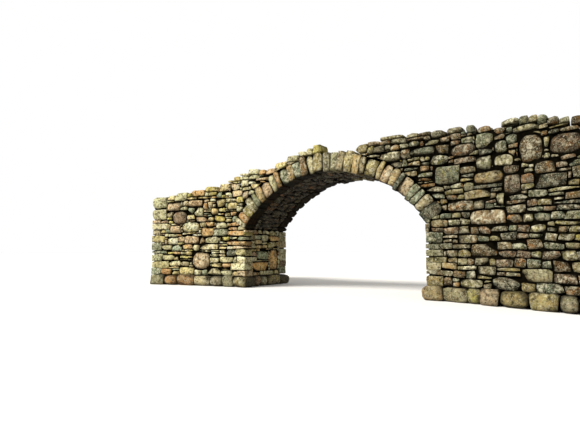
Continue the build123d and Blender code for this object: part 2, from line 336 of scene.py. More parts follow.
def stone_finish(name, light=1.0, lichen=1.0, damp=0.0, shade=1.0):
    """The weathered face of the local volcanic stone, from each stone's own tone and growths."""
    material = bpy.data.materials.new(name)
    material.use_nodes = True
    nodes, links = material.node_tree.nodes, material.node_tree.links
    shader = nodes["Principled BSDF"]
    shader.inputs["Specular IOR Level"].default_value = 0.06 + 0.3 * damp
    growth = nodes.new("ShaderNodeAttribute")
    growth.attribute_name = "growth"
    own_place = nodes.new("ShaderNodeVectorMath")
    own_place.operation = "MULTIPLY_ADD"
    links.new(growth.outputs["Alpha"], own_place.inputs[0])
    own_place.inputs[1].default_value = (31, 47, 59)
    links.new(nodes.new("ShaderNodeTexCoord").outputs["Object"], own_place.inputs[2])
    place = own_place.outputs["Vector"]

    def mottle(scale, detail, low, high, rough=0.6):
        pattern = nodes.new("ShaderNodeTexNoise")
        pattern.inputs["Scale"].default_value = scale
        pattern.inputs["Detail"].default_value = detail
        pattern.inputs["Roughness"].default_value = rough
        links.new(place, pattern.inputs["Vector"])
        spread = nodes.new("ShaderNodeMapRange")
        spread.inputs["From Min"].default_value = low
        spread.inputs["From Max"].default_value = high
        links.new(pattern.outputs["Fac"], spread.inputs["Value"])
        return spread.outputs["Result"]

    def times(one, other, clamp=False):
        product = nodes.new("ShaderNodeMath")
        product.operation = "MULTIPLY"
        product.use_clamp = clamp
        for socket, value in zip(product.inputs, (one, other)):
            if isinstance(value, float):
                socket.default_value = value
            else:
                links.new(value, socket)
        return product.outputs["Value"]

    def brightened(colour, value):
        change = nodes.new("ShaderNodeHueSaturation")
        change.inputs["Value"].default_value = value
        links.new(colour, change.inputs["Color"])
        return change.outputs["Color"]

    tone = nodes.new("ShaderNodeAttribute")
    tone.attribute_name = "tone"
    amounts = nodes.new("ShaderNodeSeparateColor")
    links.new(growth.outputs["Color"], amounts.inputs["Color"])
    yellow, pale, rusty = amounts.outputs

    colour = brightened(tone.outputs["Color"], light)
    for share, over, way in (
        # Broad stains, rust, pale lichen and yellow lichen
        (mottle(5.0, 4.0, 0.42, 0.60), (0.46, 0.45, 0.42), "MULTIPLY"),
        (times(mottle(8.0, 5.0, 0.49, 0.57), rusty, True), (0.50, 0.21, 0.045), "MIX"),
        (times(times(mottle(11.0, 7.0, 0.50, 0.57, 0.72), pale, True), lichen), (0.95, 0.90, 0.66), "MIX"),
        (times(times(mottle(10.0, 6.0, 0.57, 0.62), yellow, True), lichen), (0.72, 0.60, 0.08), "MIX"),
        # Black algae, pale grains, and dirt with painted shade from the joints and under the stones
        (times(mottle(15.0, 6.0, 0.50, 0.57, 0.75), 0.95), (0.16, 0.14, 0.11), "MULTIPLY"),
        (times(mottle(60.0, 3.0, 0.55, 0.66), 0.55), (1.0, 0.94, 0.66), "MIX"),
        (times(tone.outputs["Alpha"], 0.99), (0.022, 0.018, 0.012), "MULTIPLY"),
    ):
        mix = nodes.new("ShaderNodeMix")
        mix.data_type = "RGBA"
        mix.blend_type = way
        mix.clamp_result = True
        links.new(share, mix.inputs["Factor"])
        links.new(colour, mix.inputs["A"])
        mix.inputs["B"].default_value = (*over, 1)
        colour = mix.outputs["Result"]
    links.new(brightened(colour, shade), shader.inputs["Base Color"])

    roughness = nodes.new("ShaderNodeMapRange")
    roughness.inputs["To Min"].default_value = 0.95 - 0.3 * damp
    roughness.inputs["To Max"].default_value = 0.70 - 0.3 * damp
    links.new(mottle(30.0, 2.0, 0.3, 0.7), roughness.inputs["Value"])
    links.new(roughness.outputs["Result"], shader.inputs["Roughness"])

    relief = nodes.new("ShaderNodeMath")
    relief.operation = "MULTIPLY_ADD"
    relief.inputs[1].default_value = 0.35
    links.new(mottle(120.0, 3.0, 0.2, 0.8), relief.inputs[0])
    links.new(mottle(26.0, 6.0, 0.25, 0.75, 0.65), relief.inputs[2])
    bump = nodes.new("ShaderNodeBump")
    bump.inputs["Strength"].default_value = 1.0
    bump.inputs["Distance"].default_value = 0.03
    links.new(relief.outputs["Value"], bump.inputs["Height"])
    links.new(bump.outputs["Normal"], shader.inputs["Normal"])
    return material


def packing_finish(name, dark, light):
    """Small broken stone and earth, as packed behind and between the stones that show."""
    material = bpy.data.materials.new(name)
    material.use_nodes = True
    nodes, links = material.node_tree.nodes, material.node_tree.links
    shader = nodes["Principled BSDF"]
    rubble = nodes.new("ShaderNodeTexVoronoi")
    rubble.inputs["Scale"].default_value = 14.0
    colour = nodes.new("ShaderNodeMix")
    colour.data_type = "RGBA"
    colour.inputs["A"].default_value = (*dark, 1)
    colour.inputs["B"].default_value = (*light, 1)
    links.new(nodes.new("ShaderNodeTexCoord").outputs["Object"], rubble.inputs["Vector"])
    links.new(rubble.outputs["Distance"], colour.inputs["Factor"])
    links.new(colour.outputs["Result"], shader.inputs["Base Color"])
    shader.inputs["Roughness"].default_value = 1.0
    shader.inputs["Specular IOR Level"].default_value = 0.0
    return material


# The packing behind the joints is painted near black, as their shade
hearting_painted_shade = packing_finish("packing_painted_black_shade", (0.0010, 0.0008, 0.0005), (0.006, 0.005, 0.003))
footing_finish = stone_finish("water_worn_boulders", light=1.4, lichen=0.6, damp=0.3)


def mixed(**shares):
    """Colours to draw from, each as often as its share."""
    return [colour for colour, share in shares.items() for _ in range(share)]


rubble_mix = mixed(
    sage=6, olive=5, tan=5, grey=2, pale=6, rust=2, rose=3, green=2, plum=1, umber=1, moss=2
)
dark_mix = mixed(green=4, grey=6, umber=3, sage=5, olive=4, slate=2, plum=2, tan=2, rust=1, pale=1)
rough_top = 0.02


def row_of_places(chance, start, stop, low, high, least, most):
    """Places for one course of stones, side by side."""
    places = []
    while start < stop - 0.01:
        size = chance.uniform(least, most)
        if stop - (start + size) < least * 0.8:
            size = stop - start
        places.append((start, start + size, low, high + chance.uniform(-rough_top, rough_top)))
        start += size
    return places


arch_row = face_y - row_short_under_arch
end_row = half_width(end_x) - row_short_at_end
for name, side in halves.items():
    chance = random.Random(11 + side)
    course = new_wall()
    for face, start, stop in (
        (long_face(1, footing_proud), *sorted((side * footing_toe, side * end_x))),
        (long_face(-1, footing_proud), *sorted((-side * footing_toe, -side * end_x))),
        (cross_face(side, footing_toe, -1), -arch_row, arch_row),
        (cross_face(side, end_x, 1), -end_row, end_row),
    ):
        places = row_of_places(chance, start, stop, 0.0, footing_top, least=0.24, most=0.62)
        for place, joints in zip(places, joints_between(chance, places)):
            at_row_end = place in (places[0], places[-1])
            form = "block" if at_row_end else chance.choice(("boulder", "cobble", "cobble"))
            proud = 0.0 if form == "block" else chance.uniform(-0.04, 0.02)
            colour = chance.choice(rubble_mix + dark_mix)
            lay_stone(course, face, chance, place, joints, footing_stone_depth, colour, form, proud, dark=0.8)
    finish_piece(f"{name}_footing_stones", course, footing_finish, "footing_stone", f"{name}_footing")
    pack_behind(f"{name}_footing", "footing_stone", set_back=0.10, finish=hearting_painted_shade)

# Arch
# Each face of the arch is a ring of upright wedge stones, picked for their depth and set dry on a
# timber centre. Their upper ends are left as they broke.
core_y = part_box("barrel_crown")[1].y
springing_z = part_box("front_voussoirs")[0].z
rise = 1.35
radius = (half_span ** 2 + rise ** 2) / (2 * rise)
centre_z = springing_z + rise - radius
half_angle = math.asin(half_span / radius)
arc = 2 * half_angle * radius
ring_widths = [
    0.120, 0.200, 0.210, 0.220, 0.160, 0.205, 0.280, 0.190, 0.155, 0.245, 0.195,
    0.200, 0.185, 0.170, 0.255, 0.190, 0.190, 0.190, 0.215, 0.190, 0.140, 0.280,
    0.140, 0.210, 0.180, 0.100, 0.250, 0.150, 0.135, 0.210, 0.255,
]
ring_depths = [
    0.44, 0.43, 0.42, 0.49, 0.45, 0.48, 0.42, 0.47, 0.46, 0.42, 0.43,
    0.42, 0.50, 0.46, 0.48, 0.48, 0.47, 0.49, 0.51, 0.44, 0.42, 0.42,
    0.47, 0.43, 0.45, 0.44, 0.42, 0.42, 0.42, 0.43, 0.46,
]
ring_colours = (
    "sage rust moss sage green tan rose sage rust green tan green umber pale olive "
    "grey sage grey olive tan grey olive tan rose tan slate rose green green grey slate"
).split()
usual_ring_depth = 0.43
deepest_at_back = 0.44
# No kerb covers the ring between these places, so its stones' ends get half the dirt and painted shade
bare_ring_start = -0.1
bare_ring_stop = 1.0


def ring_face(turned):
    """The face of the front's ring (1) or of the back's (-1), bent round the arch."""
    def face(along, inward, up):
        angle = along / radius
        out = radius + up
        return Vector(
            (turned * out * math.sin(angle), turned * (inward - face_y), centre_z + out * math.cos(angle))
        )
    return face


def pack_round(name, slot, face, start, stop, near, far, low, high):
    """Packs small stuff behind the stones of an arch: one band, bent round with them."""
    packing = bmesh.new()
    bmesh.ops.create_cube(packing, size=2)
    lengthwise = [edge for edge in packing.edges if edge.verts[0].co.x != edge.verts[1].co.x]
    bmesh.ops.subdivide_edges(packing, edges=lengthwise, cuts=30, use_grid_fill=True)
    for vert in packing.verts:
        x, y, z = ((1 + share) / 2 for share in vert.co)
        vert.co = face(start + (stop - start) * x, near + (far - near) * y, low + (high - low) * z)
    bmesh.ops.recalc_face_normals(packing, faces=packing.faces)
    finish_piece(f"{name}_packing", packing, hearting_painted_shade, slot, name)


arch_finish = stone_finish("arch_ring", light=1.75)
ring_places = {}
for name, turned in (("front", 1), ("back", -1)):
    chance = random.Random(22 + turned)
    face = ring_face(turned)
    ring = new_wall()
    places = []
    at = -arc / 2
    for width, deep in zip(ring_widths[::turned], ring_depths[::turned]):
        if name == "back":
            deep = min(deep, deepest_at_back)
        places.append((at, at + width * arc / sum(ring_widths), chance.uniform(-0.015, 0.04), deep))
        at = places[-1][1]
    ring_places[name] = places
    joint_lines = joints_between(chance, places, least=0.005, most=0.014)
    for index, (place, joints) in enumerate(zip(places, joint_lines)):
        colour = ring_colours[index] if name == "front" else chance.choice(rubble_mix)
        from_crown = turned * (place[0] + place[1]) / 2
        lay_stone(
            ring, face, chance, place, joints, face_y - core_y, colour,
            "voussoir", proud=chance.uniform(-0.04, 0.015),
            dark=0.5 if bare_ring_start < from_crown < bare_ring_stop else 1.0,
        )
    finish_piece(f"{name}_ring_stones", ring, arch_finish, "voussoir_stone", f"{name}_voussoirs")
    pack_round(
        f"{name}_voussoirs", "voussoir_stone", face, -arc / 2, arc / 2,
        near=0.09, far=face_y - core_y, low=0.06, high=0.36,
    )


def ring_reach(facing, along, up):
    """How far the ring's stones reach from the arch's centre, at a place on the face."""
    around = math.atan2(along, up - centre_z) * radius
    for start, stop, _, deep in ring_places[facing]:
        if start <= around < stop:
            return radius + deep
    return radius + usual_ring_depth


# Barrel
# Between the two rings the vault is laid in long stones on edge, in courses along the arch. It never
# sees the sun and stays damp, and its finish is painted dark as that shade.
soffit_finish = stone_finish("damp_soffit_painted_shade", light=0.15, lichen=0.4, damp=0.3, shade=0.6)
edge_stone_depth = 0.28


def soffit_face(along, inward, up):
    """The underside of the arch, between its two rings."""
    angle = along / radius
    out = radius + inward
    return Vector((out * math.sin(angle), -up, centre_z + out * math.cos(angle)))


chance = random.Random(31)
barrel = {"left_haunch": new_wall(), "crown": new_wall(), "right_haunch": new_wall()}
places = []
for start, stop, _, _ in row_of_places(chance, -arc / 2, arc / 2, 0, 0, least=0.09, most=0.19):
    for low, high, _, _ in row_of_places(chance, -core_y, core_y, 0, 0, least=0.22, most=0.55):
        places.append((start, stop, low, high))
for place, joints in zip(places, joints_between(chance, places, least=0.007, most=0.018)):
    part = "left_haunch" if place[1] < -arc / 6 else "right_haunch" if place[0] > arc / 6 else "crown"
    lay_stone(
        barrel[part], soffit_face, chance, place, joints, edge_stone_depth, chance.choice(dark_mix),
        chance.choice(("block", "slab")), proud=chance.uniform(-0.035, 0.02),
    )
for third, (part, vault) in enumerate(barrel.items()):
    finish_piece(f"barrel_{part}_stones", vault, soffit_finish, "barrel_stone", f"barrel_{part}")
    start = -arc / 2 + third * arc / 3
    pack_round(
        f"barrel_{part}", "barrel_stone", soffit_face, start, start + arc / 3,
        near=0.06, far=0.29, low=-core_y, high=core_y,
    )

# Walls
# The abutments, spandrels and wings are random rubble: field stones laid dry in rough courses, each on
# the two below, with small pinnings in the gaps. Loose slabs and blocks edge the track on top of them.
# The left half's finish is painted bright, as sunlit, and the right half's dark, as painted shade with
# weather stain
wall_finishes = {
    "left": stone_finish("rubble_painted_sunlit", light=2.75),
    "right": stone_finish("rubble_painted_shade_and_stain", light=1.02),
}
damp_shaded_mix = mixed(green=4, grey=4, umber=3, slate=2, plum=2, olive=3, sage=1)
# Along the bridge the stone turns dark, as stain and painted shade, and then damp and more shaded
bright_until = 0.8
damp_shaded_from = 3.4
# The cell of the grid that rubble is set out on
grain = 0.02
bed_below_deck = 0.02
kerb_depth = 0.39
jamb_depth = 0.35
cross_stone_depth = 0.3
fill_top = 3.6
ring_overlap = 0.07
bare_crown = 0.9
# A stone that stands free on several sides gets less dirt and painted shade behind its face
free_stone_shade_and_dirt = 0.3
solids = bmesh.new()
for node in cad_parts.values():
    solids.from_mesh(node.data)
solids_tree = BVHTree.FromBMesh(solids)
solids.free()
# The track's height at each cell along it, read from above by rays that stay just inside its ends
end_inset = 0.001
end_shrink = 0.9999
ray_height = 10
deck_heights = []
for step in range(int(2 * end_x / grain) + 1):
    x = -end_x + end_inset + step * grain * end_shrink
    deck_heights.append(solids_tree.ray_cast(Vector((x, 0, ray_height)), Vector((0, 0, -1)))[0].z)


def deck_at(x):
    """The height of the track's pitching along the bridge's middle line."""
    at = min(max((x + end_x) / grain, 0.0), len(deck_heights) - 1.001)
    before = deck_heights[int(at)]
    return before + (deck_heights[int(at) + 1] - before) * (at - int(at))


least_height, most_height, usual_height = 0.07, 0.28, 0.15
least_slenderness, most_slenderness = 1.2, 2.6
closing_slenderness = 3.4
# In cells: the least rest of a run, and the highest step that a stone closes in one
least_rest = 6
highest_step = 12


def fill_rubble(chance, left, right, low, high, is_free, laid):
    """Places for the stones of a rubble wall: the lowest gap is filled first, from left to right."""
    columns = round((right - left) / grain)
    rows = round((high - low) / grain)
    taken = [
        [not is_free(left + (i + 0.5) * grain, low + (j + 0.5) * grain) for i in range(columns)]
        for j in range(rows)
    ]
    for x0, x1, z0, z1, _, form in laid:
        for j in range(max(0, round((z0 - low) / grain)), min(rows, round((z1 - low) / grain))):
            for i in range(max(0, round((x0 - left) / grain)), min(columns, round((x1 - left) / grain))):
                across = (2 * (left + (i + 0.5) * grain) - x0 - x1) / (x1 - x0)
                up = (2 * (low + (j + 0.5) * grain) - z0 - z1) / (z1 - z0)
                if form != "boulder" or math.hypot(across, up) < 1:
                    taken[j][i] = True
    starts = set()
    places = []

    def free_run(i, j):
        """How many cells in a row are free round this one."""
        first = last = i
        while first > 0 and not taken[j][first - 1]:
            first -= 1
        while last < columns and not taken[j][last]:
            last += 1
        return last - first

    def clearance(i, j, wide, most):
        """How many rows are free from this one up, over a stone's whole width."""
        clear = 1
        while clear < most and j + clear < rows and not any(taken[j + clear][i:i + wide]):
            clear += 1
        return clear

    for j in range(rows):
        i = 0
        while i < columns:
            if taken[j][i]:
                i += 1
                continue
            run = 1
            while i + run < columns and not taken[j][i + run]:
                run += 1
            # A narrow gap that widens above is left to the stones over it
            if run < 3 and j + 2 < rows and free_run(i, j + 2) > run + 1:
                taken[j][i:i + run] = [True] * run
                i += run
                continue
            beside = [0, 0]
            for side, column in enumerate((i - 1, i + run)):
                while j + beside[side] < rows and 0 <= column < columns and taken[j + beside[side]][column]:
                    beside[side] += 1
            tall = round(chance.triangular(least_height, most_height, usual_height) / grain)
            wide = min(run, max(4, round(tall * chance.uniform(least_slenderness, most_slenderness))))
            # An upright joint isn't set over another one
            if (i + wide, j - 1) in starts or (i + wide + 1, j - 1) in starts:
                wide = min(run, wide + 3)
            if run - wide < least_rest:
                wide = run if run <= tall * closing_slenderness else run // 2
            # A dip too shallow for a stone is left to the joints
            if wide == run and 1 <= min(beside) <= 2:
                for row in taken[j:j + min(beside)]:
                    row[i:i + run] = [True] * run
                i += run
                continue
            # A stone that closes a run comes up level with its lower neighbour
            if wide == run and 3 <= min(beside) <= highest_step:
                tall = min(beside)
            clear = clearance(i, j, wide, tall + 4)
            while clear < 4 and wide > 8:
                wide = wide * 2 // 3
                clear = clearance(i, j, wide, tall + 4)
            if clear < tall + 4:
                tall = clear
            if wide < 5:
                tall = min(tall, wide * 2)
            for row in range(j, j + tall):
                taken[row][i:i + wide] = [True] * wide
                starts.add((i, row))
            if wide > 1 and tall > 1:
                x0, z0 = left + i * grain, low + j * grain
                places.append((x0, x0 + wide * grain, z0, z0 + tall * grain))
            i += wide
    return places


slab_slenderness = 2.6
cobble_size = 0.13


def form_for(chance, place):
    """A form that suits a stone's size."""
    wide, tall = place[1] - place[0], place[3] - place[2]
    if wide / tall > slab_slenderness:
        return chance.choice(("slab", "slab", "lens"))
    if max(wide, tall) < cobble_size:
        return "cobble"
    return chance.choice(("block", "block", "block", "block", "slab", "cobble", "peak", "keel", "lens"))


# The front's larger stones, from the photograph: left, right, foot, top, colour and form
front_stones = [
    (-5.60, -5.12, 2.27, 2.62, "sage", "block"), (-5.12, -4.87, 2.50, 2.66, "tan", "block"),
    (-4.87, -4.46, 2.47, 2.73, "sage", "block"), (-4.44, -4.30, 2.58, 2.71, "moss", "cobble"),
    (-4.28, -3.86, 2.59, 2.78, "rust", "block"), (-3.84, -3.45, 2.71, 2.86, "moss", "peak"),
    (-3.42, -3.10, 2.70, 2.94, "tan", "block"), (-3.05, -2.72, 2.73, 2.91, "rose", "block"),
    (-3.12, -2.97, 2.94, 3.01, "moss", "slab"), (-2.95, -2.70, 2.97, 3.10, "olive", "peak"),
    (-2.70, -2.41, 3.09, 3.16, "pale", "slab"), (-2.70, -2.40, 2.79, 2.98, "pale", "block"),
    (-2.39, -2.06, 3.11, 3.25, "pale", "block"), (-2.40, -2.02, 2.93, 3.09, "sage", "slab"),
    (-2.01, -1.82, 3.06, 3.20, "rust", "peak"), (-2.14, -1.76, 2.91, 3.03, "rose", "slab"),
    (-1.80, -1.48, 3.04, 3.21, "rose", "block"), (-2.40, -2.14, 2.79, 2.92, "pale", "slab"),
    (-2.28, -1.90, 2.70, 2.88, "tan", "lens"), (-2.62, -2.28, 2.68, 2.78, "sage", "slab"),
    (-5.08, -4.66, 2.21, 2.45, "rose", "peak"), (-4.58, -4.38, 2.31, 2.49, "tan", "peak"),
    (-4.38, -3.92, 2.29, 2.50, "rose", "slab"), (-4.10, -3.75, 2.51, 2.58, "olive", "slab"),
    (-3.90, -3.75, 2.18, 2.40, "rust", "keel"), (-3.74, -3.58, 2.22, 2.43, "tan", "cobble"),
    (-3.74, -3.47, 2.58, 2.71, "moss", "slab"), (-3.47, -3.33, 2.52, 2.69, "green", "keel"),
    (-3.70, -3.51, 2.42, 2.53, "pale", "cobble"), (-3.51, -3.20, 2.25, 2.50, "olive", "block"),
    (-3.20, -3.00, 2.56, 2.65, "pale", "slab"), (-3.19, -2.86, 2.38, 2.50, "sage", "lens"),
    (-2.99, -2.62, 2.52, 2.70, "rose", "slab"), (-2.82, -2.55, 2.34, 2.54, "moss", "block"),
    (-3.14, -2.80, 2.16, 2.37, "olive", "block"), (-5.60, -5.12, 1.93, 2.26, "sage", "keel"),
    (-5.10, -4.83, 2.00, 2.13, "grey", "slab"), (-4.94, -4.43, 1.77, 2.18, "plum", "boulder"),
    (-4.42, -4.20, 2.09, 2.28, "green", "cobble"), (-4.45, -4.20, 1.90, 2.06, "tan", "peak"),
    (-4.18, -3.90, 2.00, 2.27, "sage", "cobble"), (-3.62, -3.42, 2.02, 2.24, "tan", "block"),
    (-3.40, -3.18, 2.08, 2.22, "moss", "cobble"), (-3.24, -3.06, 1.97, 2.12, "olive", "cobble"),
    (-3.06, -2.85, 1.99, 2.12, "rust", "block"), (-2.83, -2.62, 2.10, 2.26, "sage", "cobble"),
    (-4.98, -4.62, 1.50, 1.75, "rose", "block"), (-4.58, -4.02, 1.55, 1.84, "pale", "peak"),
    (-4.17, -3.80, 1.84, 1.98, "rose", "block"), (-3.78, -3.58, 1.86, 1.97, "tan", "slab"),
    (-3.55, -3.20, 1.84, 2.02, "moss", "lens"), (-3.22, -3.00, 1.81, 1.93, "tan", "slab"),
    (-3.80, -3.52, 1.70, 1.83, "rust", "slab"), (-3.48, -3.14, 1.63, 1.80, "sage", "peak"),
    (-3.56, -3.12, 1.43, 1.63, "green", "block"), (-3.96, -3.58, 1.42, 1.69, "rust", "block"),
    (-4.20, -3.94, 1.39, 1.50, "pale", "slab"), (-3.10, -2.55, 1.41, 1.58, "rust", "slab"),
    (-3.08, -2.80, 1.58, 1.66, "rust", "slab"), (-5.08, -4.73, 1.18, 1.41, "pale", "cobble"),
    (-4.72, -4.51, 1.26, 1.43, "rose", "cobble"), (-4.51, -4.02, 1.21, 1.47, "rose", "cobble"),
    (-4.04, -3.84, 1.20, 1.37, "umber", "cobble"), (-3.82, -3.38, 1.21, 1.40, "sage", "slab"),
    (-3.33, -3.05, 1.29, 1.40, "moss", "slab"), (-3.12, -2.50, 1.14, 1.29, "rust", "slab"),
    (-2.80, -2.50, 1.30, 1.41, "green", "slab"), (-4.57, -4.25, 1.04, 1.19, "rust", "lens"),
    (-4.22, -4.00, 1.00, 1.17, "pale", "block"), (-4.92, -4.60, 0.98, 1.17, "green", "block"),
    (-3.98, -3.40, 1.02, 1.20, "pale", "lens"), (-3.37, -3.13, 1.04, 1.13, "tan", "slab"),
    (-4.26, -3.65, 0.45, 0.99, "rose", "boulder"), (-4.48, -4.26, 0.86, 0.99, "olive", "slab"),
    (-3.20, -2.86, 0.85, 1.04, "slate", "block"), (-2.86, -2.50, 0.86, 1.05, "olive", "block"),
    (1.20, 1.50, 3.13, 3.20, "olive", "slab"), (1.37, 1.62, 3.22, 3.39, "grey", "block"),
    (1.20, 1.50, 3.41, 3.50, "rose", "slab"), (1.50, 1.75, 3.39, 3.48, "umber", "slab"),
    (1.52, 2.02, 3.49, 3.57, "olive", "slab"), (1.75, 2.12, 3.36, 3.49, "sage", "peak"),
    (1.77, 1.96, 3.22, 3.36, "tan", "block"), (1.96, 2.16, 3.26, 3.37, "sage", "block"),
    (1.56, 1.98, 2.97, 3.23, "pale", "block"), (1.99, 2.20, 3.01, 3.21, "umber", "cobble"),
    (2.20, 2.72, 3.03, 3.25, "green", "block"), (2.18, 2.42, 3.26, 3.37, "green", "slab"),
    (2.10, 2.37, 3.46, 3.56, "sage", "slab"), (2.14, 2.50, 3.38, 3.46, "umber", "slab"),
    (2.38, 2.66, 3.46, 3.54, "umber", "slab"), (2.50, 2.82, 3.21, 3.36, "sage", "block"),
    (2.65, 2.92, 3.39, 3.53, "grey", "block"), (2.14, 2.41, 2.83, 2.94, "tan", "lens"),
    (2.43, 2.62, 2.83, 2.90, "slate", "slab"), (1.83, 1.99, 2.69, 2.82, "green", "cobble"),
    (2.04, 2.37, 2.74, 2.83, "green", "slab"), (1.99, 2.35, 2.61, 2.74, "tan", "slab"),
    (2.37, 2.63, 2.69, 2.83, "rust", "block"), (2.35, 2.67, 2.56, 2.69, "green", "slab"),
    (2.35, 2.68, 2.48, 2.56, "rust", "slab"), (2.42, 2.76, 2.36, 2.44, "rust", "slab"),
    (2.62, 2.90, 2.23, 2.35, "grey", "peak"), (2.62, 2.90, 2.05, 2.22, "green", "block"),
    (2.62, 3.00, 2.80, 3.00, "green", "keel"), (2.74, 3.06, 3.03, 3.24, "umber", "block"),
    (3.06, 3.57, 2.90, 3.16, "plum", "boulder"), (2.83, 3.05, 3.26, 3.38, "umber", "slab"),
    (3.05, 3.28, 3.26, 3.40, "plum", "slab"), (3.00, 3.28, 3.40, 3.53, "grey", "block"),
    (3.38, 3.56, 3.34, 3.50, "green", "block"), (3.28, 3.53, 3.12, 3.27, "green", "slab"),
    (3.56, 3.90, 2.98, 3.31, "green", "keel"), (3.60, 3.87, 3.28, 3.42, "umber", "slab"),
    (3.90, 4.14, 3.20, 3.38, "umber", "block"), (3.92, 4.13, 3.10, 3.20, "umber", "slab"),
    (3.92, 4.17, 2.83, 3.09, "green", "boulder"), (3.60, 3.89, 2.86, 2.97, "slate", "slab"),
    (3.12, 3.58, 2.70, 2.88, "plum", "lens"), (3.42, 3.65, 2.89, 2.97, "sage", "slab"),
    (3.57, 3.87, 2.56, 2.84, "sage", "peak"), (3.88, 4.26, 2.53, 2.83, "pale", "boulder"),
    (2.68, 3.24, 2.36, 2.81, "green", "keel"), (3.25, 3.53, 2.54, 2.68, "grey", "block"),
    (3.25, 3.50, 2.38, 2.46, "olive", "slab"), (3.25, 3.52, 2.46, 2.54, "slate", "slab"),
    (3.50, 4.08, 2.29, 2.56, "tan", "boulder"), (3.03, 3.27, 2.27, 2.38, "sage", "block"),
    (3.30, 3.50, 2.19, 2.37, "sage", "block"), (2.91, 3.30, 2.15, 2.27, "olive", "slab"),
    (2.92, 3.18, 2.04, 2.15, "umber", "slab"), (3.52, 4.06, 2.21, 2.30, "slate", "slab"),
    (3.33, 3.82, 2.01, 2.20, "tan", "peak"), (2.82, 2.97, 1.97, 2.12, "tan", "cobble"),
    (2.96, 3.50, 1.79, 2.04, "umber", "slab"), (3.50, 3.72, 1.82, 1.98, "grey", "cobble"),
    (2.60, 2.95, 1.50, 1.66, "tan", "slab"), (2.97, 3.22, 1.52, 1.66, "sage", "cobble"),
    (3.43, 4.08, 1.50, 1.82, "rose", "peak"), (4.10, 4.36, 1.50, 1.68, "umber", "block"),
    (4.10, 4.34, 2.97, 3.17, "green", "boulder"), (4.33, 4.75, 2.56, 3.12, "umber", "boulder"),
    (4.17, 4.30, 2.75, 2.88, "tan", "cobble"), (4.05, 4.36, 2.42, 2.65, "plum", "boulder"),
    (4.73, 4.84, 2.80, 3.00, "olive", "cobble"), (4.98, 5.22, 2.54, 2.63, "plum", "slab"),
    (4.04, 4.36, 2.04, 2.40, "plum", "block"), (3.93, 4.10, 1.86, 2.12, "sage", "block"),
    (-1.47, -1.10, 3.17, 3.34, "tan", "lens"), (-1.47, -1.18, 3.10, 3.17, "pale", "slab"),
    (-1.08, -0.72, 3.30, 3.46, "sage", "block"), (-1.10, -0.72, 3.24, 3.31, "grey", "slab"),
    (-0.71, -0.48, 3.40, 3.53, "sage", "block"), (-0.71, -0.43, 3.32, 3.40, "umber", "slab"),
    (-0.47, -0.30, 3.42, 3.58, "pale", "block"), (-0.29, -0.09, 3.42, 3.65, "moss", "cobble"),
    (0.95, 1.20, 3.27, 3.49, "olive", "block"), (1.21, 1.36, 3.22, 3.40, "olive", "block"),
    (0.92, 1.16, 3.20, 3.27, "tan", "slab"), (1.42, 1.50, 3.03, 3.12, "sage", "cobble"),
    (1.51, 1.57, 3.03, 3.18, "rust", "cobble"), (1.63, 1.76, 3.26, 3.37, "grey", "cobble"),
    (4.04, 4.36, 3.30, 3.45, "sage", "cope"), (4.37, 4.52, 3.29, 3.44, "green", "cope"),
    (4.53, 4.66, 3.30, 3.42, "olive", "cope"), (4.67, 4.80, 3.24, 3.39, "green", "cope"),
    (4.81, 4.98, 3.20, 3.33, "umber", "cope"), (4.99, 5.14, 3.16, 3.28, "sage", "cope"),
    (5.15, 5.32, 3.11, 3.25, "umber", "block"), (5.33, 5.60, 2.98, 3.18, "grey", "block"),
    (4.25, 4.64, 3.17, 3.29, "sage", "peak"), (4.68, 4.82, 3.13, 3.22, "pale", "slab"),
    (4.83, 5.13, 3.12, 3.18, "olive", "slab"), (4.57, 4.71, 3.04, 3.15, "sage", "peak"),
    (4.72, 4.81, 3.01, 3.10, "rust", "cobble"), (4.82, 4.98, 3.02, 3.11, "slate", "slab"),
    (5.00, 5.28, 3.03, 3.10, "umber", "slab"), (4.82, 5.32, 2.64, 3.02, "plum", "boulder"),
    (-2.62, -2.39, 2.46, 2.66, "rose", "block"), (-2.38, -2.22, 2.56, 2.67, "sage", "peak"),
    (-1.95, -1.80, 2.83, 2.89, "rust", "slab"), (-5.05, -4.88, 1.80, 1.90, "moss", "cobble"),
    (-3.88, -3.64, 2.05, 2.12, "slate", "slab"), (-3.32, -3.21, 2.51, 2.60, "moss", "cobble"),
    (-3.14, -3.03, 1.70, 1.78, "tan", "cobble"), (-4.72, -4.60, 1.43, 1.49, "rust", "slab"),
    (-2.98, -2.82, 1.32, 1.39, "sage", "slab"), (-3.37, -3.14, 1.20, 1.28, "green", "slab"),
    (-3.64, -3.36, 0.92, 0.99, "pale", "slab"), (2.42, 2.51, 2.91, 3.00, "pale", "cobble"),
    (2.52, 2.61, 2.92, 3.00, "pale", "cobble"), (2.50, 2.61, 2.10, 2.19, "sage", "cobble"),
    (2.62, 2.81, 1.84, 1.96, "moss", "cobble"), (2.64, 2.78, 1.67, 1.77, "pale", "cobble"),
    (2.80, 3.04, 1.67, 1.79, "green", "cobble"), (3.05, 3.25, 1.67, 1.78, "sage", "cobble"),
    (4.38, 4.50, 2.51, 2.59, "pale", "cobble"), (4.42, 4.56, 2.41, 2.49, "sage", "cobble"),
    (4.74, 4.84, 2.62, 2.71, "sage", "cobble"),
]

least_gap = 0.05
least_quoin = 0.09
most_quoin = 0.28
quoin_heights = (0.12, 0.23)
long_quoins = (0.42, 0.58)
short_quoins = (0.24, 0.36)


